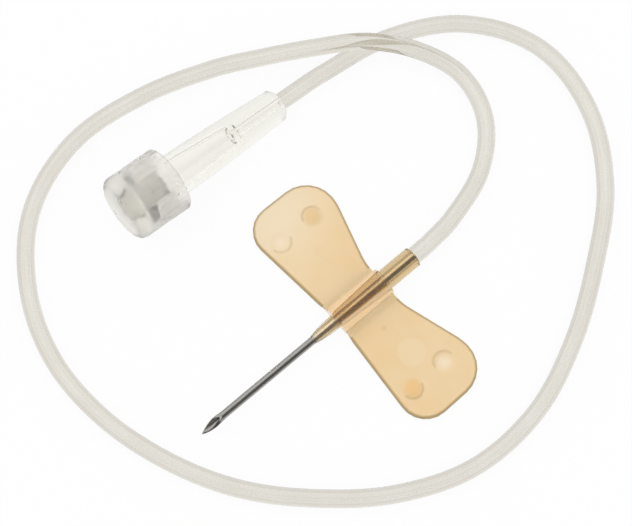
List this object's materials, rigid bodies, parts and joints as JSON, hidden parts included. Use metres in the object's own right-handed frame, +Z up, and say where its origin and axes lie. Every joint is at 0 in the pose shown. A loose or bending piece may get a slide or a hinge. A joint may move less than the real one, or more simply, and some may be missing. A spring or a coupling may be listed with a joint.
{
  "type": "butterfly needle",
  "caption": "Winged infusion needle: steel cannula in a tapered hub, soft folding wings, thin tubing and a luer connector with its cap.",
  "frame": {"origin": "middle of the flat underside of the wing saddle, on the surface that the part lies on", "axes": "+Z up from that surface, -Y along the needle towards its point, +Y towards the tubing, X along the wings"},
  "size_m": [0.0744, 0.0845, 0.0106],
  "materials": {
    "cannula_steel": "drawn and polished stainless tube with a ground point",
    "hub_plastic": "smoky translucent moulded plastic",
    "wing_vinyl": "soft satin cream vinyl, slightly translucent",
    "tubing_vinyl": "clear soft vinyl tubing, faintly milky",
    "connector_plastic": "clear rigid moulded plastic",
    "cap_plastic": "frosted translucent moulded plastic"
  },
  "bodies": {
    "needle_set": {"cannula": "cannula_steel", "needle_hub": "hub_plastic", "wing_saddle": "wing_vinyl", "tubing": "tubing_vinyl", "luer_connector": "connector_plastic"},
    "left_wing_body": {"left_wing": "wing_vinyl"},
    "right_wing_body": {"right_wing": "wing_vinyl"},
    "cap_body": {"luer_cap": "cap_plastic"}
  },
  "joints": [
    {"name": "left_wing_fold", "type": "hinge", "parent": "needle_set", "child": "left_wing_body", "pos_m": [-0.00252, 0, 0.0008], "axis": [0, 1, 0], "range_deg": [0, 95], "stiffness_Nm_per_rad": 0.0003},
    {"name": "right_wing_fold", "type": "hinge", "parent": "needle_set", "child": "right_wing_body", "pos_m": [0.00252, 0, 0.0008], "axis": [0, -1, 0], "range_deg": [0, 95], "stiffness_Nm_per_rad": 0.0003},
    {"name": "cap_pull", "type": "slide", "parent": "needle_set", "child": "cap_body", "axis": [-0.0329, -0.9912, 0.1281], "range_m": [0, 0.008]}
  ]
}
